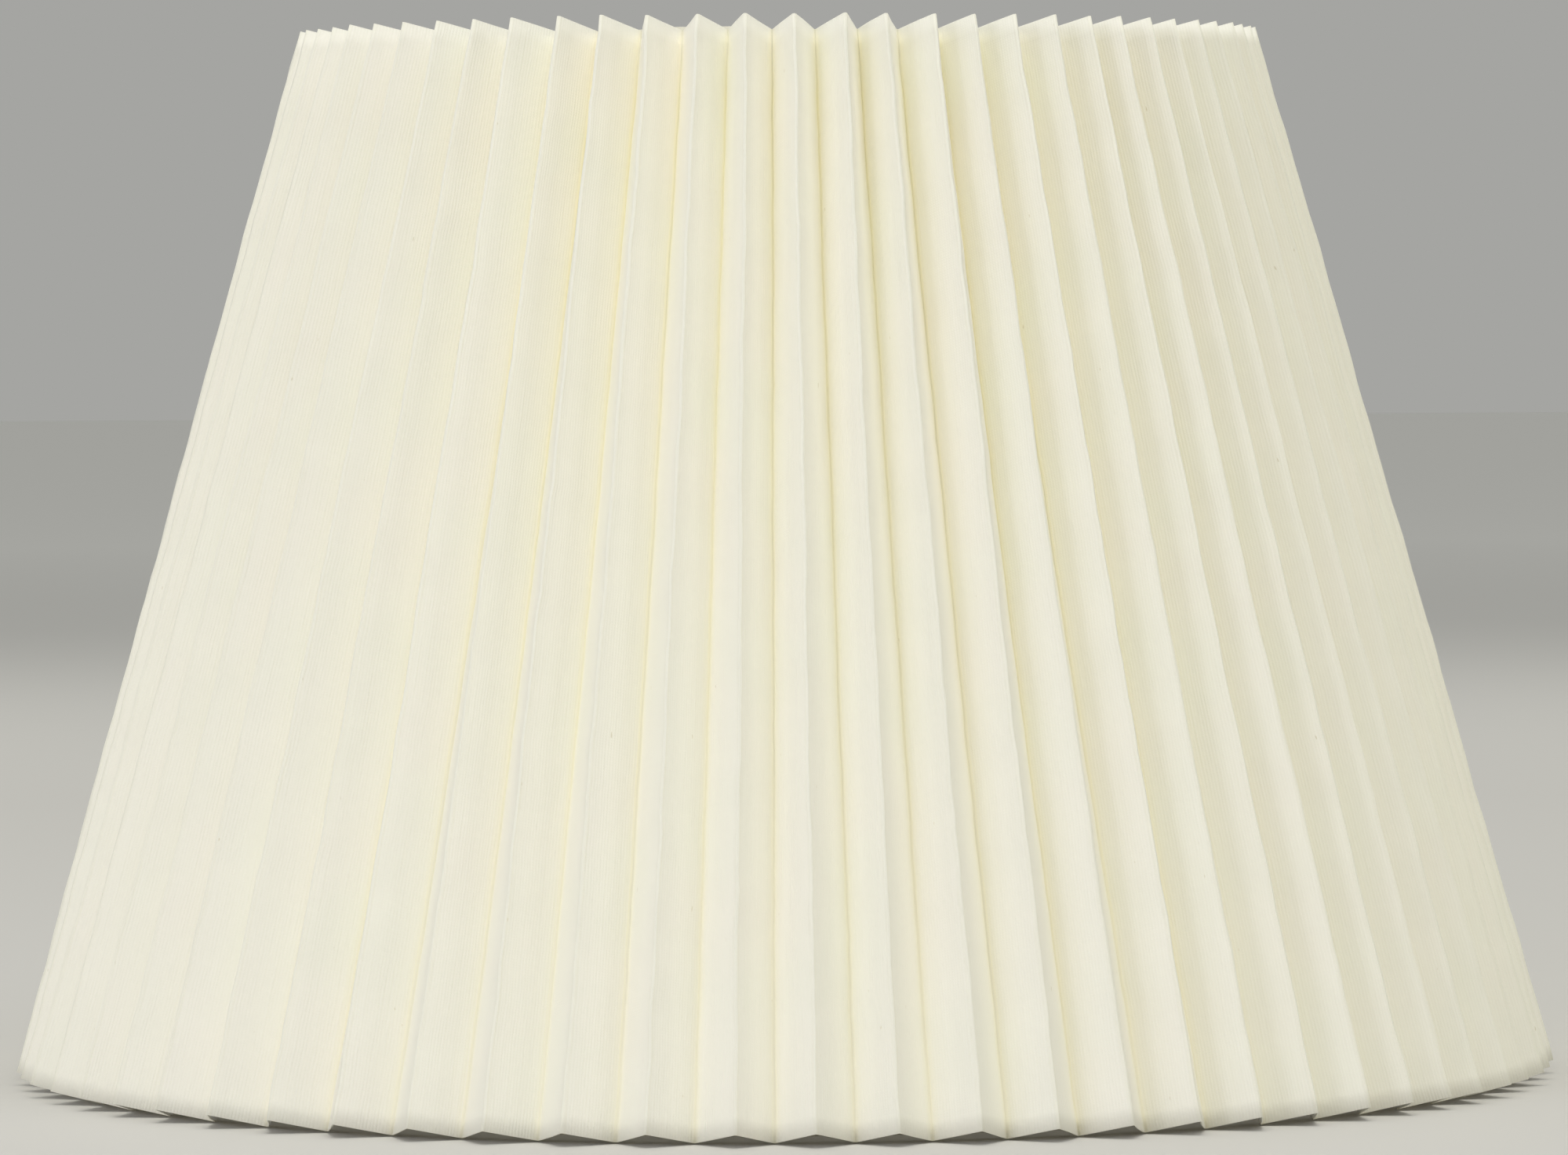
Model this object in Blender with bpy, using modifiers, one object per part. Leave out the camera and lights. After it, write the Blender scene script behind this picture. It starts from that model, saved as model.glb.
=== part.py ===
"""Pleated empire lamp shade on a wire frame with a spider fitter.

One flat band of fabric, bonded to a stiff film, is folded into equal panels and closed into a cone.
Its inner folds are glued to two taped wire rings. Three arms hang a washer in the top ring, and the
washer sits on a lamp's harp. Metres, +Z up. The shade stands on the origin's plane, on its axis.
"""

from math import asin, atan2, cos, pi, sin, sqrt

import bpy

# The shade: standard sizes of such shades, across the outer folds and along the slope.
BOTTOM_DIAMETER = 0.3683
TOP_DIAMETER = 0.2290
SLANT_LENGTH = 0.2570

# The pleats: two panels each. Every panel has the same width, so the folds are deeper at the top.
PLEATS = 66
PANEL_WIDTH = 0.01335
FIRST_FOLD_TURN = 0.0323
# Hand gathering spaces the pleats unevenly. Each drift is one slow wave round the shade, in radians.
TOP_DRIFT = {"once": -0.016, "twice": 0.009, "lean": 0.032}
BOTTOM_DRIFT = {"once": 0.011, "twice": 0.022, "lean": 0.032}
BOTTOM_TWIST = 0.006

# The laminate. Touching pieces keep a small gap.
FABRIC_THICKNESS = 0.0004
FILM_THICKNESS = 0.0003
FILM_SETBACK = 0.0008
GAP = 0.0003

# The wire frame, its tape and its glue.
RING_WIRE_RADIUS = 0.0016
TAPE_THICKNESS = 0.0004
TAPE_HALF_WRAP = 1.85
GLUE_RADIUS = 0.0008
TOP_TAPE_BELOW_FOLDS = 0.0002
BOTTOM_TAPE_ABOVE_FLOOR = 0.0015

# The spider fitter: a half inch drop and a washer with a 7/16 in hole.
ARMS = 3
FIRST_ARM_TURN = pi
ARM_WIRE_RADIUS = 0.0015
ARM_STRAIGHT_OUTER = 0.014
ARM_BEND_LENGTH = 0.026
ARM_BEND_POINTS = 7
ARM_INNER_END = 0.0088
FITTER_DROP = 0.0127
WASHER_RADIUS = 0.0143
WASHER_HOLE_RADIUS = 0.00555
WASHER_THICKNESS = 0.0014
WASHER_CHAMFER = 0.0003

# Facets of the turned pieces.
RING_STEPS = 48
WIRE_SIDES = 8
TAPE_SEGMENTS = 6
GLUE_SIDES = 5
WASHER_STEPS = 32

# Worked out from the sizes above.
BOTTOM_RADIUS = BOTTOM_DIAMETER / 2
TOP_RADIUS = TOP_DIAMETER / 2
SLOPE = asin((BOTTOM_RADIUS - TOP_RADIUS) / SLANT_LENGTH)
DOWN_SLOPE = (sin(SLOPE), -cos(SLOPE))
INWARD = (-cos(SLOPE), -sin(SLOPE))
LAMINATE_THICKNESS = FABRIC_THICKNESS + GAP + FILM_THICKNESS
TAPE_RADIUS = RING_WIRE_RADIUS + GAP + TAPE_THICKNESS


def fold_depth(radius):
    """Depth of the folds, square to the slope, that gives every panel its width."""
    arc = radius * (1 - cos(pi / PLEATS))
    lean = arc * cos(SLOPE)
    return lean + sqrt(lean**2 - 2 * radius * arc + PANEL_WIDTH**2)


def mitre(radius, thickness):
    """How far a fold moves along its depth when the sheet is offset by a thickness."""
    half_pleat = (radius - fold_depth(radius) * cos(SLOPE) / 2) * sin(pi / PLEATS)
    return thickness * PANEL_WIDTH / half_pleat


# The fabric's inner face at an inner fold is the lowest point, and it stands on the floor.
LOWEST_DEPTH = fold_depth(BOTTOM_RADIUS) + mitre(BOTTOM_RADIUS, FABRIC_THICKNESS)
BOTTOM_Z = LOWEST_DEPTH * sin(SLOPE)
TOP_Z = BOTTOM_Z + SLANT_LENGTH * cos(SLOPE)


def edge_point(at_top, depth, setback=0.0):
    """Radius and height of a point on the top or bottom edge, at a depth square to the slope."""
    radius = TOP_RADIUS if at_top else BOTTOM_RADIUS
    height = TOP_Z if at_top else BOTTOM_Z
    along = setback if at_top else -setback
    return (
        radius + depth * INWARD[0] + along * DOWN_SLOPE[0],
        height + depth * INWARD[1] + along * DOWN_SLOPE[1],
    )


def fold_turn(half_pleat, at_top):
    """Angle of a fold round the axis, from the front at -Y towards +X, counted in half pleats."""
    even = pi * half_pleat / PLEATS
    waves = TOP_DRIFT if at_top else BOTTOM_DRIFT
    drift = waves["once"] * sin(even) + waves["twice"] * sin(2 * even)
    drift += waves["lean"] * (cos(2 * even) - 1)
    twist = 0.0 if at_top else BOTTOM_TWIST
    return FIRST_FOLD_TURN + even + drift + twist


def inner_face_point(height):
    """Radius of the laminate's inner face at an inner fold, at a height."""
    ends = []
    for at_top, radius in ((False, BOTTOM_RADIUS), (True, TOP_RADIUS)):
        depth = fold_depth(radius) + mitre(radius, LAMINATE_THICKNESS)
        ends.append(edge_point(at_top, depth))
    (low_radius, low_z), (high_radius, high_z) = ends
    share = (height - low_z) / (high_z - low_z)
    return low_radius + share * (high_radius - low_radius)


def beside_fold(height, along, away):
    """Point beside the inner folds: down the slope from a height, and away towards the axis."""
    return (
        inner_face_point(height) + along * DOWN_SLOPE[0] + away * INWARD[0],
        height + along * DOWN_SLOPE[1] + away * INWARD[1],
    )


def ring_centre(centre_z):
    """Radius of a taped ring that just clears the inner folds, with its wire at a height."""
    away = TAPE_RADIUS + GAP
    foot_z = centre_z - away * INWARD[1]
    return beside_fold(foot_z, 0.0, away)


TOP_RING_Z = edge_point(True, fold_depth(TOP_RADIUS))[1] - TOP_TAPE_BELOW_FOLDS - TAPE_RADIUS
BOTTOM_RING_Z = BOTTOM_TAPE_ABOVE_FLOOR + TAPE_RADIUS


def clear_scene():
    for obj in list(bpy.data.objects):
        bpy.data.objects.remove(obj, do_unlink=True)


def make_material(name, color, roughness, metallic=0.0):
    material = bpy.data.materials.new(name)
    material.use_nodes = True
    shader = material.node_tree.nodes["Principled BSDF"]
    shader.inputs["Base Color"].default_value = (*color, 1.0)
    shader.inputs["Roughness"].default_value = roughness
    shader.inputs["Metallic"].default_value = metallic
    material.diffuse_color = (*color, 1.0)
    return material


def finish_object(obj, name, material, collection, smooth_angle=None):
    obj.name = name
    obj.data.name = name
    obj.data.materials.append(material)
    for old in list(obj.users_collection):
        old.objects.unlink(obj)
    collection.objects.link(obj)
    if smooth_angle is not None:
        obj.data.shade_smooth()
        obj.data.set_sharp_from_angle(angle=smooth_angle)
    return obj


def add_solidify(obj, thickness):
    modifier = obj.modifiers.new("Solidify", "SOLIDIFY")
    modifier.thickness = thickness
    modifier.offset = -1.0
    modifier.use_even_offset = True


def add_screw(obj, steps):
    modifier = obj.modifiers.new("Screw", "SCREW")
    modifier.axis = "Z"
    modifier.angle = 2 * pi
    modifier.steps = steps
    modifier.render_steps = steps
    modifier.use_merge_vertices = False
    modifier.merge_threshold = 0.0001


def turned_piece(name, profile, closed, steps):
    """A profile of (radius, height) points turned round the Z axis."""
    mesh = bpy.data.meshes.new(name)
    points = [(radius, 0.0, height) for radius, height in profile]
    edges = [(i, i + 1) for i in range(len(points) - 1)]
    if closed:
        edges.append((len(points) - 1, 0))
    mesh.from_pydata(points, edges, [])
    obj = bpy.data.objects.new(name, mesh)
    add_screw(obj, steps)
    return obj


def make_pleated_layer(name, material, collection, layer_depth, thickness, setback):
    """One layer of the folded band: an open cylinder whose points are moved to the folds."""
    bpy.ops.mesh.primitive_cylinder_add(vertices=2 * PLEATS, radius=1.0, depth=2.0, end_fill_type="NOTHING")
    obj = bpy.context.object
    for vertex in obj.data.vertices:
        half_pleat = round(atan2(vertex.co.x, -vertex.co.y) / (pi / PLEATS))
        at_top = vertex.co.z > 0
        radius = TOP_RADIUS if at_top else BOTTOM_RADIUS
        depth = mitre(radius, layer_depth)
        if half_pleat % 2:
            depth += fold_depth(radius)
        fold_radius, height = edge_point(at_top, depth, setback)
        turn = fold_turn(half_pleat, at_top)
        vertex.co = (fold_radius * sin(turn), -fold_radius * cos(turn), height)
    finish_object(obj, name, material, collection)
    add_solidify(obj, thickness)
    return obj


def make_ring(name, material, collection, centre, wire_radius, sides):
    """A wire ring or a glue bead, round the axis."""
    bpy.ops.mesh.primitive_torus_add(
        major_radius=centre[0],
        minor_radius=wire_radius,
        major_segments=RING_STEPS,
        minor_segments=sides,
        location=(0.0, 0.0, centre[1]),
    )
    return finish_object(bpy.context.object, name, material, collection, smooth_angle=pi / 3)


def make_ring_tape(name, material, collection, centre):
    """Tape folded round a ring from outside. It is open towards the axis, where the arms meet it."""
    profile = []
    for i in range(TAPE_SEGMENTS + 1):
        angle = TAPE_HALF_WRAP * (1 - 2 * i / TAPE_SEGMENTS)
        profile.append((centre[0] + TAPE_RADIUS * cos(angle), centre[1] + TAPE_RADIUS * sin(angle)))
    obj = turned_piece(name, profile, closed=False, steps=RING_STEPS)
    finish_object(obj, name, material, collection, smooth_angle=pi / 3)
    add_solidify(obj, TAPE_THICKNESS)
    return obj


def make_glue_bead(name, material, collection, ring_z, side):
    """A bead in the corner between a taped ring and the inner folds, below it (1) or above it (-1)."""
    ring_away = TAPE_RADIUS + GAP
    away = GLUE_RADIUS + GAP
    reach = TAPE_RADIUS + GAP + GLUE_RADIUS
    along = sqrt(reach**2 - (ring_away - away) ** 2)
    foot_z = ring_z - ring_away * INWARD[1]
    centre = beside_fold(foot_z, side * along, away)
    return make_ring(name, material, collection, centre, GLUE_RADIUS, GLUE_SIDES)


def arm_profile(ring_radius, washer_top):
    """The arm's (radius, height) points, from the top ring inwards and down to the washer."""
    outer = ring_radius - RING_WIRE_RADIUS - GAP
    bend_start = outer - ARM_STRAIGHT_OUTER
    low_z = washer_top + GAP + ARM_WIRE_RADIUS
    points = [(outer, TOP_RING_Z)]
    for i in range(ARM_BEND_POINTS):
        share = i / (ARM_BEND_POINTS - 1)
        ease = (1 - cos(pi * share)) / 2
        points.append((bend_start - share * ARM_BEND_LENGTH, TOP_RING_Z + ease * (low_z - TOP_RING_Z)))
    points.append((ARM_INNER_END, low_z))
    return points


def make_arm(name, material, collection, profile, turn):
    curve = bpy.data.curves.new(name, "CURVE")
    curve.dimensions = "3D"
    curve.bevel_depth = ARM_WIRE_RADIUS
    curve.bevel_resolution = 2
    curve.use_fill_caps = True
    spline = curve.splines.new("POLY")
    spline.points.add(len(profile) - 1)
    for point, (radius, height) in zip(spline.points, profile):
        point.co = (0.0, -radius, height, 1.0)
    obj = bpy.data.objects.new(name, curve)
    obj.rotation_euler.z = turn
    obj.data.materials.append(material)
    collection.objects.link(obj)
    return obj


def make_washer(name, material, collection, top):
    """A flat round washer with eased edges."""
    low = top - WASHER_THICKNESS
    chamfer = WASHER_CHAMFER
    profile = [
        (WASHER_HOLE_RADIUS, top),
        (WASHER_RADIUS - chamfer, top),
        (WASHER_RADIUS, top - chamfer),
        (WASHER_RADIUS, low + chamfer),
        (WASHER_RADIUS - chamfer, low),
        (WASHER_HOLE_RADIUS, low),
    ]
    obj = turned_piece(name, profile, closed=True, steps=WASHER_STEPS)
    return finish_object(obj, name, material, collection, smooth_angle=pi / 6)


def main():
    clear_scene()
    shade = bpy.data.collections.new("lamp_shade")
    bpy.context.scene.collection.children.link(shade)
    fabric = make_material("cream_fabric", (0.83, 0.80, 0.66), 0.9)
    film = make_material("styrene_film", (0.86, 0.85, 0.80), 0.35)
    tape = make_material("binding_tape", (0.80, 0.77, 0.64), 0.95)
    glue = make_material("clear_glue", (0.85, 0.83, 0.74), 0.3)
    wire = make_material("white_painted_wire", (0.82, 0.82, 0.80), 0.4)
    plate = make_material("plated_fitter", (0.72, 0.68, 0.60), 0.3, metallic=1.0)

    make_pleated_layer("pleated_cover", fabric, shade, 0.0, FABRIC_THICKNESS, 0.0)
    film_depth = FABRIC_THICKNESS + GAP
    make_pleated_layer("styrene_backing", film, shade, film_depth, FILM_THICKNESS, FILM_SETBACK)

    for place, ring_z, glue_side in (("top", TOP_RING_Z, 1), ("bottom", BOTTOM_RING_Z, -1)):
        centre = ring_centre(ring_z)
        make_ring(f"{place}_ring", wire, shade, centre, RING_WIRE_RADIUS, WIRE_SIDES)
        make_ring_tape(f"{place}_ring_tape", tape, shade, centre)
        make_glue_bead(f"{place}_glue_bead", glue, shade, ring_z, glue_side)

    washer_top = TOP_RING_Z - FITTER_DROP
    profile = arm_profile(ring_centre(TOP_RING_Z)[0], washer_top)
    for arm in range(ARMS):
        turn = FIRST_ARM_TURN + 2 * pi * arm / ARMS
        make_arm(f"spider_arm_{arm + 1}", plate, shade, profile, turn)
    make_washer("fitter_washer", plate, shade, washer_top)


main()
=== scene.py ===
"""Looks of the pleated lamp shade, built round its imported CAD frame. Metres, +Z up, front at -Y."""

from math import cos, hypot, pi, radians, sin

import bmesh
import bpy
import numpy as np
from mathutils import Matrix, Vector


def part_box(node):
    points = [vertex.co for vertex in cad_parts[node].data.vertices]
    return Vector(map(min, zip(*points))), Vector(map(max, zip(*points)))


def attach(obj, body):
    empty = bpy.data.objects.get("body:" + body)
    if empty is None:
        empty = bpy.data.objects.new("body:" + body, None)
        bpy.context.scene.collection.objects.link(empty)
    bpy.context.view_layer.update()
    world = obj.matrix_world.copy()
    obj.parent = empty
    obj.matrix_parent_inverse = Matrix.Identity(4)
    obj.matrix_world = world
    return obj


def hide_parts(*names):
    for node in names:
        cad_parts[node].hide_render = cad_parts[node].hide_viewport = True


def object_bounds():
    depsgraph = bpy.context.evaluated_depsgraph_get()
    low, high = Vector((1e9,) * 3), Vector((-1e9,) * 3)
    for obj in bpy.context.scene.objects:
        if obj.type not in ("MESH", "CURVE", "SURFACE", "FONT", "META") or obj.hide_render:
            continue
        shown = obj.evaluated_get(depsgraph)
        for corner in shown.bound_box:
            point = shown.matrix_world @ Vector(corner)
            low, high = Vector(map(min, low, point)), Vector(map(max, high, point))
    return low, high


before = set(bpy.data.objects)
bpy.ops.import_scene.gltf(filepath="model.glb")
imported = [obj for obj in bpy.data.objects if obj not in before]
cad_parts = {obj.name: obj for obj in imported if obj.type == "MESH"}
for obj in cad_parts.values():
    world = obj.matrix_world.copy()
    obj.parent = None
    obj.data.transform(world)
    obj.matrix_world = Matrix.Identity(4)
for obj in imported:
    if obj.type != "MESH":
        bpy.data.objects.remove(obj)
cad_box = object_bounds()

SEED = 11

# ------------------------------------------------------------------ sizes
# The laminate: woven fabric bonded to a film, cut as one flat band. The film is cut back at both edges.
FABRIC_THICKNESS = 0.00035
FILM_THICKNESS = 0.00025
BOND = 0.00003
FILM_SETBACK = 0.0004

# The folds: radius of an outer fold, how far the point of an inner fold is blunted and how near to it
# the panel starts to bend, and the spacing of the close rows of points that hold a bend.
RIDGE_ROUNDING = 0.00045
LEAST_ROUNDING_SHARE = 0.3
CREASE_BLUNTING = 0.00014
CREASE_SHOULDER = 0.0009
SUPPORT = 0.0003

# The seam at the back: how proud the lapping panel stands, and how much shorter than a full one it is.
LAP_STEP = 0.0007
LAP_STEP_AT_CREASE = 0.6
LAP_SHORT = 0.07
LAP_POINTS = (0.03, 0.5, 0.97, 1.0)

# Rows of points up the band.
FABRIC_ROWS = 62
FILM_ROWS = 30

# How far the folds stray from even ones. The rings hold the inner folds, which stray less.
FOLD_SPACING_STRAY = 0.0003
FOLD_DEPTH_STRAY = 0.00025
INNER_SPACING_SHARE = 0.6
INNER_DEPTH_SHARE = 0.35
RIPPLE = 0.00012
RIPPLE_WAVES = ((2.3, 1.0), (9.0, 0.8), (18.0, 0.5))
ROW_JITTER = 0.00005
PANEL_BOW = 0.00022

# The wire rings. Their butt welds are at the back.
RING_STEPS = 192
WIRE_SIDES = 16
WELD_TURN = radians(171)
WELD_LENGTH = 0.0022
WELD_SWELL = 0.16

# The tape folded round each ring. Its ripples have a number of waves round the ring and a lean across it.
TAPE_THICKNESS = 0.0004
TAPE_HALF_WRAP = 1.85
TAPE_STEPS = 520
TAPE_SIDES = 15
TAPE_RIPPLE = 0.00003
TAPE_RIPPLE_WAVES = ((37, 0.7), (61, -1.1), (113, 1.9))
TAPE_EDGE_WANDER = 0.03
TAPE_EDGE_WAVES = 23

# Each tape's turn where it starts, the length of its lap, and how proud the lap stands. Before the lap
# the tape climbs over its own start, in a share of the lap's length.
TAPE_CLIMB_SHARE = 0.25
TAPE_LAPS = {"top": (radians(-17), radians(12), 0.00035), "bottom": (radians(150), radians(8), 0.0001)}

# The glue runs: shifted towards the inner folds, which they don't quite reach, fatter beside each fold,
# lumpy and a little wavy.
GLUE_STEPS = 792
GLUE_SIDES = 10
GLUE_SHIFT = 0.00025
GLUE_FATNESS = 1.02
GLUE_SWELL = 0.12
GLUE_LUMP = 0.05
GLUE_LUMP_WAVES = (5, 13, 29, 47)
GLUE_FLATTENING = 0.92
GLUE_WANDER = 0.00016
GLUE_WANDER_WAVES = 9
GLUE_FINE_WANDER = 0.0001
GLUE_FINE_WAVES = 31

# The spider fitter: arms bent down from the top ring to a washer.
ARMS = 3
ARM_STRAIGHT_OUTER = 0.014
ARM_BEND_LENGTH = 0.026
ARM_STEPS = 110
ARM_SIDES = 20
ARM_FLAT_LENGTH = 0.007
ARM_FLATTENING = 0.42
ARM_SQUARENESS = 0.4
ARM_TIP_LENGTH = 0.0014
ARM_TIP_BLUNTING = 0.00012
ARM_WELD_LENGTH = 0.0022
ARM_WELD_WIDENING = 0.45
ARM_WELD_THICKENING = 0.12
WASHER_STEPS = 128
WASHER_EASE = 0.00035

# The camera: its place relative to the shade's axis and to the bottoms of the outer folds.
CAMERA_DISTANCE = 1.996
CAMERA_HEIGHT = 0.176
CAMERA_TILT = 0.0299
CAMERA_ROLL = 0.0059
CAMERA_TURN = 0.0003
CAMERA_LENS = 190.8


# ------------------------------------------------------------------ the folds, read from the CAD cover
# Corners whose radii differ by more than this are of different kinds.
KIND_GAP = 0.0002


def cad_points(node):
    """The distinct points of a CAD node's mesh."""
    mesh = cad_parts[node].data
    points = np.empty(len(mesh.vertices) * 3)
    mesh.vertices.foreach_get("co", points)
    return np.unique(points.reshape(-1, 3).round(6), axis=0)


def read_fold_ends(points, at_top):
    """The outer and inner folds at one end: for each kind its radius, height and sorted angles.

    An angle is counted round the axis from the front towards +X. The cover's mesh has four corners at
    each pair of folds, and their radii, from the largest, are: outer fold outside, outer fold inside,
    inner fold outside, inner fold inside.
    """
    middle = points[:, 2].mean()
    end = points[points[:, 2] > middle] if at_top else points[points[:, 2] < middle]
    radius = np.hypot(end[:, 0], end[:, 1])
    order = np.argsort(-radius)
    groups = np.split(order, np.flatnonzero(-np.diff(radius[order]) > KIND_GAP) + 1)
    folds = {}
    for kind, group in (("outer", groups[0]), ("inner", groups[2])):
        angles = np.sort(np.arctan2(end[group, 0], -end[group, 1]))
        folds[kind] = (radius[group].mean(), end[group, 2].mean(), angles)
    return folds


cover_points = cad_points("pleated_cover")
TOP = read_fold_ends(cover_points, True)
BOTTOM = read_fold_ends(cover_points, False)
PLEATS = len(TOP["outer"][2])
FOLDS = 2 * PLEATS
RISE = TOP["outer"][1] - BOTTOM["outer"][1]
RUN = BOTTOM["outer"][0] - TOP["outer"][0]
SLANT = hypot(RISE, RUN)
# The way into a fold, square to the slope, as steps in radius and height.
INTO_FOLD = (-RISE / SLANT, -RUN / SLANT)
PANEL_WIDTH = hypot(
    TOP["outer"][0] - TOP["inner"][0] * cos(pi / PLEATS),
    TOP["inner"][0] * sin(pi / PLEATS),
    TOP["outer"][1] - TOP["inner"][1],
)


def matched(angles, to):
    """Sorted angles rolled, and unwrapped, so that each lies nearest its partner."""
    best = None
    for shift in range(-3, 4):
        rolled = np.roll(angles, shift)
        rolled = to + (rolled - to + pi) % (2 * pi) - pi
        miss = np.abs(rolled - to).sum()
        if best is None or miss < best[0]:
            best = (miss, rolled)
    return best[1]


def fold_angles():
    """Angles of all folds at the bottom and the top, outer and inner in turn, starting at the back."""
    top_outer = TOP["outer"][2]
    top_inner = TOP["inner"][2]
    if (top_inner[0] - top_outer[0]) % (2 * pi) > 1.9 * pi / PLEATS:
        top_inner = np.roll(top_inner, -1)
    top_inner = top_outer + (top_inner - top_outer) % (2 * pi)
    bottom = np.empty(FOLDS)
    top = np.empty(FOLDS)
    top[0::2], top[1::2] = top_outer, top_inner
    bottom[0::2] = matched(BOTTOM["outer"][2], top_outer)
    bottom[1::2] = matched(BOTTOM["inner"][2], top_inner)
    return bottom, top


BOTTOM_ANGLES, TOP_ANGLES = fold_angles()


# ------------------------------------------------------------------ meshes from rows of points
def turn_outwards(mesh):
    work = bmesh.new()
    work.from_mesh(mesh)
    bmesh.ops.recalc_face_normals(work, faces=work.faces)
    work.to_mesh(mesh)
    work.free()


def make_grid(name, grid, around=False, along=False, capped=False, flat=None):
    """A mesh over rows of points. It may close from last column to first (around) or row (along)."""
    rows, columns = grid.shape[:2]
    index = np.arange(rows * columns).reshape(rows, columns)
    if along:
        index = np.vstack([index, index[:1]])
    if around:
        index = np.hstack([index, index[:, :1]])
    corners = [index[:-1, :-1], index[:-1, 1:], index[1:, 1:], index[1:, :-1]]
    faces = np.stack(corners, axis=-1).reshape(-1, 4).tolist()
    if capped:
        faces.append(index[0, :columns].tolist())
        faces.append(index[-1, :columns][::-1].tolist())
    mesh = bpy.data.meshes.new(name)
    mesh.from_pydata(grid.reshape(-1, 3).tolist(), [], faces)
    if flat is not None:
        cloth = mesh.attributes.new("cloth", "FLOAT_VECTOR", "POINT")
        cloth.data.foreach_set("vector", flat.ravel())
    if capped or (around and along):
        turn_outwards(mesh)
    mesh.shade_smooth()
    obj = bpy.data.objects.new(name, mesh)
    bpy.context.scene.collection.objects.link(obj)
    return obj


def add_thickness(obj, thickness, offset):
    solidify = obj.modifiers.new("Thickness", "SOLIDIFY")
    solidify.thickness = thickness
    solidify.offset = offset


def full_circle(steps):
    return np.arange(steps) * 2 * pi / steps


def turned(radii, heights, turns):
    """Points round the axis: one row for each turn, one column for each point of the profile."""
    turns = np.asarray(turns)[:, None]
    return np.stack([radii * np.sin(turns), -radii * np.cos(turns), heights + 0 * turns], axis=-1)


def finish_piece(obj, material, slot, *nodes):
    obj.data.materials.append(material)
    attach(obj, "root")
    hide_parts(*nodes)
    return obj


# ------------------------------------------------------------------ the folded band
class Strays:
    """Seeded departures of each fold and panel from its even line."""

    def __init__(self):
        random = np.random.RandomState(SEED)
        self.spacing = random.normal(0, FOLD_SPACING_STRAY, (2, FOLDS))
        self.depth = random.normal(0, FOLD_DEPTH_STRAY, (2, FOLDS))
        self.phases = random.uniform(0, 2 * pi, (6, FOLDS))
        self.waves = random.uniform(0.8, 1.25, (6, FOLDS))
        self.bow = random.normal(0, PANEL_BOW, (2, FOLDS + 1))
        self.jitter = random.normal(0, ROW_JITTER, (FABRIC_ROWS, FOLDS))

    def ripple(self, share, first):
        """Three waves up the slope: about 110, 29 and 14 mm long."""
        total = np.zeros(FOLDS)
        for i, (beats, size) in enumerate(RIPPLE_WAVES):
            angle = 2 * pi * beats * self.waves[first + i] * share + self.phases[first + i]
            total += size * RIPPLE * np.sin(angle)
        return total

    def sideways(self, share):
        low, high = self.spacing
        return low + share * (high - low) + self.ripple(share, 0) + self.jitter[self.row(share)]

    def deep(self, share):
        low, high = self.depth
        return low + share * (high - low) + self.ripple(share, 3)

    def panel_bow(self, share):
        low, high = self.bow
        return low + share * (high - low)

    def row(self, share):
        return int(round(share * (FABRIC_ROWS - 1)))


STRAYS = Strays()
IS_RIDGE = np.arange(FOLDS) % 2 == 0


def between_ends(kind, share):
    """Radius and height of a kind of fold, at a share of the way up."""
    low_radius, low_height, _ = BOTTOM[kind]
    high_radius, high_height, _ = TOP[kind]
    return low_radius + share * (high_radius - low_radius), low_height + share * (high_height - low_height)


def fold_corners(share, offset):
    """The sharp corners of one row of the band, at a share of the way up, as (folds, 3) points.

    offset is how far the sheet lies inside the band's outer face.
    """
    ridge_radius, ridge_height = between_ends("outer", share)
    crease_radius, crease_height = between_ends("inner", share)
    middle = (ridge_radius + crease_radius) / 2
    half_sine = middle * sin(pi / PLEATS) / PANEL_WIDTH
    rounding = np.where(IS_RIDGE, RIDGE_ROUNDING, 0.0)
    along = offset / half_sine - rounding * (1 / half_sine - 1)
    along = along + STRAYS.deep(share) * np.where(IS_RIDGE, 1.0, INNER_DEPTH_SHARE)
    angle = BOTTOM_ANGLES + share * (TOP_ANGLES - BOTTOM_ANGLES)
    angle = angle + STRAYS.sideways(share) * np.where(IS_RIDGE, 1.0, INNER_SPACING_SHARE) / middle
    radius = np.where(IS_RIDGE, ridge_radius, crease_radius) + along * INTO_FOLD[0]
    height = np.where(IS_RIDGE, ridge_height, crease_height) + along * INTO_FOLD[1]
    return np.stack([radius * np.sin(angle), -radius * np.cos(angle), height], axis=1)


def unit(vector):
    return vector / np.linalg.norm(vector)


def rounded(corner, before, after, rounding):
    """A fold's three points on an arc, from the side of before to the side of after."""
    back = unit(before - corner)
    ahead = unit(after - corner)
    into = unit(back + ahead)
    across = unit(back - ahead)
    half = np.arccos(np.clip((back * into).sum(), -1, 1))
    centre = corner + into * rounding / sin(half)
    turns = np.array([[pi / 2 - half], [0.0], [half - pi / 2]])
    return centre - rounding * np.cos(turns) * into + rounding * np.sin(turns) * across


def panel_points(ridge_end, crease, bow):
    """Points of a panel from beside its ridge to the shoulder of its crease.

    Pairs of close points keep the bends tight where the smooth shading turns.
    """
    length = np.linalg.norm(crease - ridge_end)
    facing = unit(np.cross(crease - ridge_end, [0, 0, 1])) * bow
    shoulder = 1 - CREASE_SHOULDER / length
    steps = (SUPPORT / length, 0.5, shoulder - SUPPORT / length, shoulder)
    return [ridge_end + (crease - ridge_end) * step + facing * sin(pi * step) for step in steps]


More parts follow.
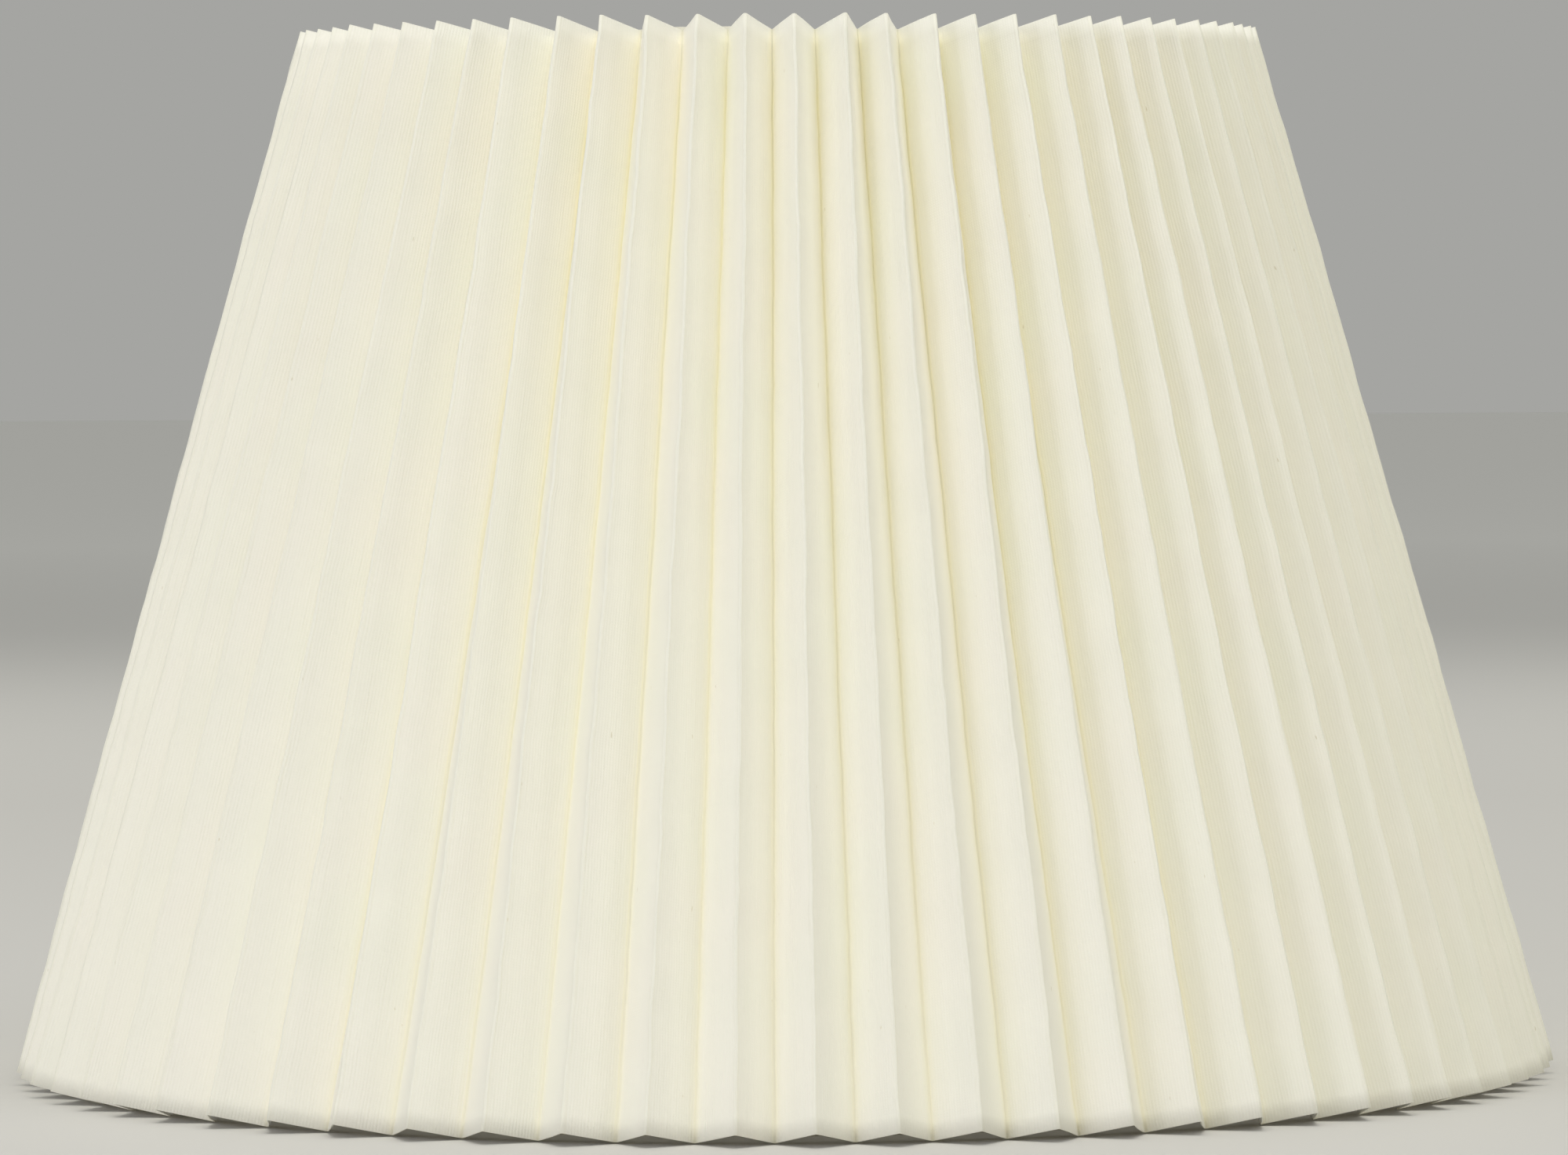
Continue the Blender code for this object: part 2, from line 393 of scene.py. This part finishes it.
def band_row(share, offset):
    """One row of the band from its start to its lapped end: points, and their places across the band."""
    corners = fold_corners(share, offset)
    bow = STRAYS.panel_bow(share)
    turns = BOTTOM_ANGLES + share * (TOP_ANGLES - BOTTOM_ANGLES)
    rounding = max(RIDGE_ROUNDING - offset, LEAST_ROUNDING_SHARE * RIDGE_ROUNDING)
    lift = unit(corners[0] * [1, 1, 0]) * LAP_STEP
    ridges = np.vstack([corners[0::2], corners[0] + lift])
    creases = np.vstack([corners[1::2], corners[1] + LAP_STEP_AT_CREASE * lift])
    row = []
    centres = []
    for pleat in range(PLEATS + 1):
        arc = rounded(ridges[pleat], creases[pleat - 1 if pleat else -2], creases[pleat], rounding)
        if pleat > 0:
            row.extend(panel_points(arc[0], creases[pleat - 1], -bow[2 * pleat - 1])[::-1])
            row.append(arc[0])
        centres.append(len(row))
        row.extend(arc[1:])
        if pleat < PLEATS:
            row.extend(panel_points(arc[2], creases[pleat], bow[2 * pleat]))
            turn = turns[2 * pleat + 1]
            deeper = np.array([INTO_FOLD[0] * sin(turn), -INTO_FOLD[0] * cos(turn), INTO_FOLD[1]])
            centres.append(len(row))
            row.append(creases[pleat] - deeper * CREASE_BLUNTING)
    end = arc[2] + (creases[-1] - arc[2]) * (1 - LAP_SHORT)
    row.extend(arc[2] + (end - arc[2]) * step for step in LAP_POINTS)
    row = np.array(row)
    length = np.append(0, np.cumsum(np.linalg.norm(np.diff(row, axis=0), axis=1)))
    marks = np.append(np.arange(FOLDS + 1), FOLDS + 1 - LAP_SHORT) * PANEL_WIDTH
    return row, np.interp(length, np.append(length[centres], length[-1]), marks)


def make_band(name, offset, thickness, setback, rows):
    """The folded band as one sheet with two free ends, solidified inwards."""
    grid = []
    flat = []
    for row in range(rows):
        share = setback / SLANT + row / (rows - 1) * (1 - 2 * setback / SLANT)
        points, places = band_row(share, offset)
        grid.append(points)
        flat.append(np.stack([places, np.full(len(places), share * SLANT), np.zeros(len(places))], axis=1))
    band = make_grid(name, np.array(grid), flat=np.array(flat))
    add_thickness(band, thickness, -1.0)
    return band


def make_cover():
    cover = make_band("pleated_fabric", 0.0, FABRIC_THICKNESS, 0.0, FABRIC_ROWS)
    return finish_piece(cover, fabric_material(), "cover_fabric", "pleated_cover")


def make_backing():
    depth = FABRIC_THICKNESS + BOND
    backing = make_band("folded_film", depth, FILM_THICKNESS, FILM_SETBACK, FILM_ROWS)
    return finish_piece(backing, film_material(), "backing_film", "styrene_backing")


# ------------------------------------------------------------------ the taped and glued rings
def ring_size(place):
    """Radius and height of a ring's centre line, and the radius of its wire."""
    low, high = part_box(f"{place}_ring")
    wire = (high.z - low.z) / 2
    return high.x - wire, (high.z + low.z) / 2, wire


def make_wire_ring(place, material):
    """A round wire ring, a little swollen at its butt weld."""
    radius, height, wire = ring_size(place)
    around = full_circle(RING_STEPS)
    section = full_circle(WIRE_SIDES)
    from_weld = np.abs((around - WELD_TURN + pi) % (2 * pi) - pi) * radius
    swollen = wire * (1 + WELD_SWELL * np.exp(-((from_weld / WELD_LENGTH) ** 2)))[:, None]
    grid = turned(radius + swollen * np.cos(section), height + swollen * np.sin(section), around)
    ring = make_grid(f"wire_ring_{place}", grid, around=True, along=True)
    return finish_piece(ring, material, "ring_wire", f"{place}_ring")


def make_tape(place, material):
    """Tape folded round a ring from outside, in one strip whose end laps over its start.

    The strip's inner face is the CAD tape's outer face.
    """
    radius, height, _ = ring_size(place)
    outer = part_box(f"{place}_ring_tape")[1].x - radius
    start, lap, proud = TAPE_LAPS[place]
    random = np.random.RandomState(SEED + len(place))
    turns = np.linspace(start, start + 2 * pi + lap, TAPE_STEPS)
    past_start = (turns - start - 2 * pi) / (lap * TAPE_CLIMB_SHARE)
    climb = np.clip(1 + past_start, 0, 1) * (TAPE_THICKNESS + proud)
    section = np.linspace(-TAPE_HALF_WRAP, TAPE_HALF_WRAP, TAPE_SIDES)
    reach = outer + climb[:, None] + np.zeros(TAPE_SIDES)
    for waves, lean in TAPE_RIPPLE_WAVES:
        shift = random.uniform(0, 2 * pi)
        reach = reach + TAPE_RIPPLE * np.sin(waves * turns[:, None] + lean * section + shift)
    wrapped = section * (1 + TAPE_EDGE_WANDER * np.sin(TAPE_EDGE_WAVES * turns + 1.3))[:, None]
    grid = turned(radius + reach * np.cos(wrapped), height + reach * np.sin(wrapped), turns)
    flat = np.zeros(grid.shape)
    flat[..., 0] = turns[:, None] * radius
    flat[..., 1] = section * outer
    tape = make_grid(f"folded_tape_{place}", grid, flat=flat)
    add_thickness(tape, TAPE_THICKNESS, -1.0)
    return finish_piece(tape, material, "binding_tape", f"{place}_ring_tape")


def make_glue(place, material):
    """Set glue between the tape and the inner folds, fatter beside each fold."""
    low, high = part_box(f"{place}_glue_bead")
    bead = (high.z - low.z) / 2
    radius = high.x - bead + GLUE_SHIFT
    height = (high.z + low.z) / 2
    random = np.random.RandomState(SEED + 7 * len(place))
    around = full_circle(GLUE_STEPS)
    section = full_circle(GLUE_SIDES)
    first_inner_fold = (TOP_ANGLES if place == "top" else BOTTOM_ANGLES)[1]
    in_fold = np.cos(PLEATS * (around - first_inner_fold))
    lumps = np.zeros(GLUE_STEPS)
    for waves in GLUE_LUMP_WAVES:
        lumps = lumps + random.uniform(0.4, 1.0) * np.sin(waves * around + random.uniform(0, 2 * pi))
    fatness = bead * (GLUE_FATNESS + GLUE_SWELL * in_fold + GLUE_LUMP * lumps)[:, None]
    wander = GLUE_WANDER * np.sin(GLUE_WANDER_WAVES * around + 0.4)
    wander = wander + GLUE_FINE_WANDER * np.sin(GLUE_FINE_WAVES * around)
    heights = height + wander[:, None] + GLUE_FLATTENING * fatness * np.sin(section)
    grid = turned(radius + fatness * np.cos(section), heights, around)
    glue = make_grid(f"glue_run_{place}", grid, around=True, along=True)
    return finish_piece(glue, material, "glue", f"{place}_glue_bead")


# ------------------------------------------------------------------ the spider fitter
def smooth_step(value):
    value = np.clip(value, 0, 1)
    return value * value * (3 - 2 * value)


def arm_path(washer_top, flat_half):
    """Radii and heights along an arm's middle, from its weld on the ring to its weld on the washer."""
    ring_radius, ring_height, ring_wire = ring_size("top")
    cad_low, cad_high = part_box("spider_arm_1")
    outer = ring_radius - 0.5 * ring_wire
    bend_start = cad_high.y - ARM_STRAIGHT_OUTER
    radii = np.linspace(outer, cad_low.y, ARM_STEPS)
    ease = (1 - np.cos(pi * np.clip((bend_start - radii) / ARM_BEND_LENGTH, 0, 1))) / 2
    heights = ring_height + ease * (washer_top + flat_half - ring_height)
    return radii, heights


def make_arm(number, turn, material):
    """A wire arm: its outer end swells into the weld on the ring, its inner end is pressed flat."""
    cad_low, cad_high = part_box("spider_arm_1")
    wire = (cad_high.x - cad_low.x) / 2
    washer_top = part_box("fitter_washer")[1].z
    radii, _ = arm_path(washer_top, wire)
    flat_part = smooth_step(1 - (radii - radii[-1]) / ARM_FLAT_LENGTH)
    weld_part = np.exp(-(((radii - radii[0]) / ARM_WELD_LENGTH) ** 2))
    half_wide = wire * (1 + ARM_FLATTENING * flat_part + ARM_WELD_WIDENING * weld_part)
    half_high = wire * (1 - ARM_FLATTENING * flat_part + ARM_WELD_THICKENING * weld_part)
    tip = np.sqrt(np.clip((radii - radii[-1] + ARM_TIP_BLUNTING) / ARM_TIP_LENGTH, 0, 1))
    radii, heights = arm_path(washer_top, half_high)
    slope = np.gradient(heights, radii)
    across_path = np.stack([-slope, np.ones(ARM_STEPS)], axis=1) / np.sqrt(1 + slope**2)[:, None]
    section = full_circle(ARM_SIDES)
    squareness = (1 - ARM_SQUARENESS * flat_part)[:, None]
    side = np.sign(np.cos(section)) * np.abs(np.cos(section)) ** squareness * (half_wide * tip)[:, None]
    lift = np.sign(np.sin(section)) * np.abs(np.sin(section)) ** squareness * half_high[:, None]
    reach = radii[:, None] + lift * across_path[:, :1]
    height = heights[:, None] + lift * across_path[:, 1:]
    grid = np.stack(
        [
            reach * sin(turn) + side * cos(turn),
            -reach * cos(turn) + side * sin(turn),
            height,
        ],
        axis=-1,
    )
    arm = make_grid(f"bent_arm_{number}", grid, around=True, capped=True)
    return finish_piece(arm, material, "fitter_metal", f"spider_arm_{number}")


def make_washer(material):
    """The stamped washer, with eased edges."""
    low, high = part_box("fitter_washer")
    points = cad_points("fitter_washer")
    hole = np.hypot(points[:, 0], points[:, 1]).min()
    quarter = np.linspace(0, pi / 2, 5)
    radii = []
    heights = []
    ease = WASHER_EASE
    corners = (
        (high.x - ease, high.z - ease, 0),
        (hole + ease, high.z - ease, 1),
        (hole + ease, low.z + ease, 2),
        (high.x - ease, low.z + ease, 3),
    )
    for radius, height, quarters in corners:
        radii.append(radius + ease * np.cos(quarter + quarters * pi / 2))
        heights.append(height + ease * np.sin(quarter + quarters * pi / 2))
    grid = turned(np.concatenate(radii), np.concatenate(heights), full_circle(WASHER_STEPS))
    washer = make_grid("round_washer", grid, around=True, along=True)
    washer.data.set_sharp_from_angle(angle=radians(40))
    return finish_piece(washer, material, "fitter_metal", "fitter_washer")


# ------------------------------------------------------------------ materials
# Spacing of the threads of the cover's cloth and of the tape.
WARP_PITCH = 0.00075
WEFT_PITCH = 0.00062
TAPE_WARP_PITCH = 0.0004
TAPE_WEFT_PITCH = 0.0005


class Nodes:
    """A short way to wire a material: most calls add a node and return its output."""

    def __init__(self, name):
        self.material = bpy.data.materials.new(name)
        self.material.use_nodes = True
        self.tree = self.material.node_tree
        self.shader = self.tree.nodes["Principled BSDF"]

    def add(self, kind, **settings):
        node = self.tree.nodes.new(kind)
        for key, value in settings.items():
            setattr(node, key, value)
        return node

    def put(self, value, socket):
        if isinstance(value, bpy.types.NodeSocket):
            self.tree.links.new(value, socket)
        else:
            socket.default_value = value

    def math(self, operation, a, b=0.0, c=0.0):
        node = self.add("ShaderNodeMath", operation=operation)
        for value, socket in zip((a, b, c), node.inputs):
            self.put(value, socket)
        return node.outputs[0]

    def sine(self, place, pitch, shift=0.0):
        """A wave of one crest per pitch, from -1 to 1."""
        return self.math("SINE", self.math("MULTIPLY_ADD", place, 2 * pi / pitch, shift))

    def stretch(self, vector, scale):
        node = self.add("ShaderNodeVectorMath", operation="MULTIPLY")
        self.put(vector, node.inputs[0])
        node.inputs[1].default_value = scale
        return node.outputs[0]

    def noise(self, vector, scale, detail=2.0):
        node = self.add("ShaderNodeTexNoise")
        self.put(vector, node.inputs["Vector"])
        node.inputs["Scale"].default_value = scale
        node.inputs["Detail"].default_value = detail
        return node.outputs["Fac"]

    def remap(self, value, low, high, to_low, to_high):
        node = self.add("ShaderNodeMapRange")
        self.put(value, node.inputs["Value"])
        for key, number in zip(("From Min", "From Max", "To Min", "To Max"), (low, high, to_low, to_high)):
            node.inputs[key].default_value = number
        return node.outputs["Result"]

    def mix(self, share, first, second):
        node = self.add("ShaderNodeMix", data_type="RGBA")
        self.put(share, node.inputs["Factor"])
        self.put(first, node.inputs["A"])
        self.put(second, node.inputs["B"])
        return node.outputs["Result"]

    def bump(self, height, distance, strength=1.0):
        node = self.add("ShaderNodeBump")
        node.inputs["Distance"].default_value = distance
        node.inputs["Strength"].default_value = strength
        self.put(height, node.inputs["Height"])
        self.put(node.outputs["Normal"], self.shader.inputs["Normal"])

    def cloth(self):
        """Coordinates on the flat cloth, in metres: across the folds, and along them."""
        vector = self.add("ShaderNodeAttribute", attribute_name="cloth").outputs["Vector"]
        split = self.add("ShaderNodeSeparateXYZ")
        self.put(vector, split.inputs[0])
        return vector, split.outputs[0], split.outputs[1]

    def place(self):
        """Coordinates on a solid piece, in metres."""
        return self.add("ShaderNodeTexCoord").outputs["Object"]

    def set(self, **sockets):
        for key, value in sockets.items():
            self.put(value, self.shader.inputs[key.replace("_", " ")])


def colour(red, green, blue):
    return (red, green, blue, 1.0)


def weave_height(n, cloth, across, along):
    """Height of the plain weave: ribs of warp along the folds, finer weft across them, uneven yarns."""
    waver = n.noise(n.stretch(cloth, (260, 30, 1)), 1.0, 3.0)
    warp = n.sine(n.math("MULTIPLY_ADD", waver, 0.0005, across), WARP_PITCH)
    slack = n.noise(n.stretch(cloth, (40, 500, 1)), 1.0, 3.0)
    weft = n.sine(n.math("MULTIPLY_ADD", slack, 0.0004, along), WEFT_PITCH)
    weave = n.math("MULTIPLY", warp, weft)
    yarns = n.noise(n.stretch(cloth, (1500, 45, 1)), 1.0, 2.0)
    rib = n.math("MULTIPLY_ADD", yarns, 1.8, n.math("MULTIPLY", warp, 0.38))
    return n.math("ADD", rib, n.math("MULTIPLY_ADD", weave, 0.12, n.math("MULTIPLY", weft, 0.06)))


def mottled_cream(n, cloth, height):
    """Cream, painted darker where the weave sits low as painted shade between the yarns, with faint green and
    pink patches.
    """
    # Painted shade: darker where the weave sits low, between the yarns.
    yarn_shade = n.remap(height, -0.2, 1.8, 1.0, 0.0)
    base = n.mix(yarn_shade, colour(0.953, 0.934, 0.834), colour(0.939, 0.918, 0.809))
    green = n.remap(n.noise(cloth, 34.0), 0.42, 0.62, 0.0, 0.3)
    base = n.mix(green, base, colour(0.93, 0.93, 0.81))
    pink = n.remap(n.noise(n.stretch(cloth, (1, -1, 1)), 31.0), 0.46, 0.64, 0.0, 0.28)
    return n.mix(pink, base, colour(0.958, 0.92, 0.825))


def painted_fold_shade(n, base, across, along, wander):
    """Painted shade along the folds: outer folds painted a little darker to damp their highlight, inner folds
    painted gold for the shade and light passed between the close panels, least at the two open ends.
    """
    fold = n.math("PINGPONG", across, PANEL_WIDTH)
    from_ridge = n.math("ADD", fold, n.remap(wander, 0.3, 0.7, -0.0002, 0.0002))
    # Painted shade: outer folds a little darker, to damp the highlight on their rounding.
    ridge_shade = n.remap(from_ridge, 0.0004, 0.0011, 0.85, 0.0)
    base = n.mix(ridge_shade, base, colour(0.912, 0.894, 0.77))
    from_crease = n.math("SUBTRACT", PANEL_WIDTH, fold)
    # Painted light and shade: a gold band beside each inner fold, for light passed between close panels.
    painted_crease_glow = n.remap(from_crease, 0.0002, 0.0022, 0.3, 0.0)
    base = n.mix(painted_crease_glow, base, colour(0.95, 0.905, 0.7))
    # Painted shade: a gold core in each inner fold, stronger towards the narrower top and fading at the top
    # edge.
    crease_shade_weight = n.remap(along, 0.0, SLANT, 0.16, 0.5)
    fading = n.remap(along, SLANT - 0.016, SLANT - 0.003, 1.0, 0.25)
    crease_shade_weight = n.math("MULTIPLY", crease_shade_weight, fading)
    painted_crease_shade = n.math("MULTIPLY", n.remap(from_crease, 0.0002, 0.0009, 1.0, 0.0), crease_shade_weight)
    return n.mix(painted_crease_shade, base, colour(0.985, 0.895, 0.45))


def fabric_material():
    """Plain-woven cream cloth, mottled, with painted shade along its folds and between its yarns, and with a
    few darker slubs.
    """
    n = Nodes("cover_fabric")
    cloth, across, along = n.cloth()
    height = weave_height(n, cloth, across, along)
    base = mottled_cream(n, cloth, height)
    wander = n.noise(n.stretch(cloth, (300, 160, 1)), 1.0, 2.0)
    base = painted_fold_shade(n, base, across, along, wander)
    slub = n.noise(n.stretch(cloth, (900, 260, 1)), 1.0, 1.0)
    base = n.mix(n.remap(slub, 0.79, 0.83, 0.0, 0.5), base, colour(0.62, 0.54, 0.36))
    n.set(Base_Color=base, Roughness=n.remap(height, -0.2, 1.8, 0.95, 0.82))
    n.set(Sheen_Weight=0.08, Sheen_Roughness=0.5, Specular_IOR_Level=0.2)
    relief = n.math("MULTIPLY_ADD", wander, 1.2, height)
    n.bump(relief, 0.00006, 0.8)
    return n.material


def film_material():
    """Smooth milky styrene with faint ripples."""
    n = Nodes("backing_film")
    cloth, _, _ = n.cloth()
    ripple = n.noise(cloth, 60.0, 3.0)
    base = n.mix(n.remap(ripple, 0.35, 0.65, 0.0, 1.0), colour(0.93, 0.92, 0.885), colour(0.915, 0.90, 0.855))
    n.set(Base_Color=base, Roughness=n.remap(ripple, 0.3, 0.7, 0.32, 0.45))
    n.bump(ripple, 0.0001, 0.4)
    return n.material


def wire_material():
    """White coated steel, with the slight unevenness of a dipped coat."""
    n = Nodes("coated_wire")
    coat = n.noise(n.place(), 700.0, 2.0)
    base = n.mix(n.remap(coat, 0.3, 0.7, 0.0, 1.0), colour(0.83, 0.83, 0.81), colour(0.78, 0.78, 0.755))
    n.set(Base_Color=base, Roughness=n.remap(coat, 0.3, 0.7, 0.32, 0.46))
    n.bump(coat, 0.00006, 0.5)
    return n.material


def tape_material():
    """Narrow cream cotton tape in plain weave, painted darker between its threads as painted shade."""
    n = Nodes("binding_tape")
    cloth, along, across = n.cloth()
    threads = n.math("MULTIPLY", n.sine(along, TAPE_WEFT_PITCH), n.sine(across, TAPE_WARP_PITCH))
    fuzz = n.noise(n.stretch(cloth, (1400, 1400, 1)), 1.0, 2.0)
    height = n.math("MULTIPLY_ADD", fuzz, 1.2, threads)
    # Painted shade: darker where the weave sits low, between the threads, and uneven with the fuzz.
    base = n.mix(n.remap(height, -0.6, 1.6, 0.0, 1.0), colour(0.74, 0.70, 0.56), colour(0.84, 0.815, 0.69))
    n.set(Base_Color=base, Roughness=n.remap(height, -0.6, 1.6, 0.96, 0.86), Sheen_Weight=0.1)
    n.bump(height, 0.00006, 0.7)
    return n.material


def glue_material():
    """Set hot-melt glue: waxy, milky, with small lumps."""
    n = Nodes("glue")
    lumps = n.noise(n.place(), 420.0, 3.0)
    base = n.mix(n.remap(lumps, 0.3, 0.7, 0.0, 1.0), colour(0.86, 0.835, 0.735), colour(0.80, 0.76, 0.63))
    n.set(Base_Color=base, Roughness=n.remap(lumps, 0.3, 0.7, 0.22, 0.38), Subsurface_Weight=0.25)
    n.set(Subsurface_Radius=(0.002, 0.0015, 0.001), Subsurface_Scale=1.0)
    n.bump(lumps, 0.00012, 0.5)
    return n.material


def plating_material():
    """Thin satin brass plating: drawing lines, cloudy tarnish and a few dull spots."""
    n = Nodes("brass_plating")
    place = n.place()
    cloud = n.noise(place, 90.0, 4.0)
    scratches = n.noise(n.stretch(place, (2600, 2600, 260)), 1.0, 2.0)
    spots = n.remap(n.noise(place, 900.0, 2.0), 0.66, 0.74, 0.0, 0.35)
    base = n.mix(n.remap(cloud, 0.35, 0.68, 0.0, 1.0), colour(0.80, 0.67, 0.41), colour(0.70, 0.56, 0.32))
    base = n.mix(spots, base, colour(0.42, 0.33, 0.20))
    rough = n.math("ADD", n.remap(cloud, 0.3, 0.7, 0.24, 0.36), n.math("MULTIPLY", spots, 0.5))
    n.set(Base_Color=base, Metallic=1.0, Roughness=rough)
    n.bump(scratches, 0.00002, 0.35)
    return n.material


# ------------------------------------------------------------------ stage
FLOOR_SIZE = 30.0
FLOOR_GAP = 0.0002
LIGHT_DISTANCE = 2.4
LIT_HEIGHT = 0.12
WARM = (1.01, 1.0, 0.94)
WHITE = (1.0, 1.0, 1.0)
COOL = (0.98, 1.0, 1.16)


def make_floor():
    """A pale floor, painted paler far away: painted light where the lamps' light falls off and the floor
    would otherwise look much darker than the backdrop.
    """
    bpy.ops.mesh.primitive_plane_add(size=FLOOR_SIZE)
    floor = bpy.context.object
    floor.name = "floor"
    floor.location.z = cad_box[0].z - FLOOR_GAP
    n = Nodes("floor")
    length = n.add("ShaderNodeVectorMath", operation="LENGTH")
    n.put(n.place(), length.inputs[0])
    away = n.remap(length.outputs["Value"], 1.2, 5.0, 0.0, 1.0)
    base = n.mix(away, colour(0.63, 0.62, 0.595), colour(0.95, 0.95, 0.92))
    n.set(Base_Color=base, Roughness=0.8)
    floor.data.materials.append(n.material)


def make_light(name, azimuth, elevation, size, power, tint):
    """A square soft light aimed at the shade. Azimuth is from the front towards +X, in degrees."""
    data = bpy.data.lights.new(name, "AREA")
    data.shape = "SQUARE"
    data.size = size
    data.energy = power
    data.color = tint
    light = bpy.data.objects.new(name, data)
    bpy.context.scene.collection.objects.link(light)
    turn, lift = radians(azimuth), radians(elevation)
    away = Vector((sin(turn) * cos(lift), -cos(turn) * cos(lift), sin(lift)))
    light.location = Vector((0, 0, LIT_HEIGHT)) + away * LIGHT_DISTANCE
    light.rotation_euler = (-away).to_track_quat("-Z", "Y").to_euler()
    light.visible_camera = False


def make_world(brightness):
    world = bpy.data.worlds.new("studio")
    bpy.context.scene.world = world
    world.use_nodes = True
    background = world.node_tree.nodes["Background"]
    background.inputs["Color"].default_value = colour(0.99, 0.99, 0.95)
    background.inputs["Strength"].default_value = brightness


def make_camera():
    data = bpy.data.cameras.new("camera")
    data.sensor_width = 36.0
    data.lens = CAMERA_LENS
    data.clip_end = 60.0
    camera = bpy.data.objects.new("camera", data)
    bpy.context.scene.collection.objects.link(camera)
    camera.matrix_world = (
        Matrix.Translation((0.0, -CAMERA_DISTANCE, BOTTOM["outer"][1] + CAMERA_HEIGHT))
        @ Matrix.Rotation(-CAMERA_TURN, 4, "Z")
        @ Matrix.Rotation(pi / 2 - CAMERA_TILT, 4, "X")
        @ Matrix.Rotation(-CAMERA_ROLL, 4, "Z")
    )
    bpy.context.scene.camera = camera


def make_stage():
    bpy.context.scene.view_settings.view_transform = "Standard"
    # Light in deep pale folds is passed on many times before it comes out.
    bpy.context.scene.cycles.diffuse_bounces = 12
    bpy.context.scene.cycles.max_bounces = 16
    make_floor()
    make_world(0.38)
    make_light("top", 0, 80, 1.6, 16.9, WARM)
    make_light("front_top", 0, 55, 1.2, 6.5, WARM)
    make_light("right_top", 45, 55, 1.2, 5.5, WHITE)
    make_light("right", 52, 12, 0.9, 4.4, WARM)
    make_light("near_front", -20, 12, 0.6, 1.4, COOL)
    make_light("key", -31, 12, 0.5, 5.8, COOL)
    make_light("left_front", -47, 12, 0.7, 3.7, COOL)
    make_light("left", -78, 12, 0.9, 3.3, WARM)
    make_light("back_left", -150, 30, 1.2, 5.5, WARM)
    make_light("back_right", 150, 30, 1.2, 5.5, WARM)
    make_camera()


def make_shade():
    cover = make_cover()
    backing = make_backing()
    wire = wire_material()
    tape = tape_material()
    glue = glue_material()
    for place in ("top", "bottom"):
        make_wire_ring(place, wire)
        make_tape(place, tape)
        make_glue(place, glue)
    plating = plating_material()
    for number in range(1, ARMS + 1):
        make_arm(number, pi + 2 * pi * (number - 1) / ARMS, plating)
    make_washer(plating)


make_shade()
make_stage()
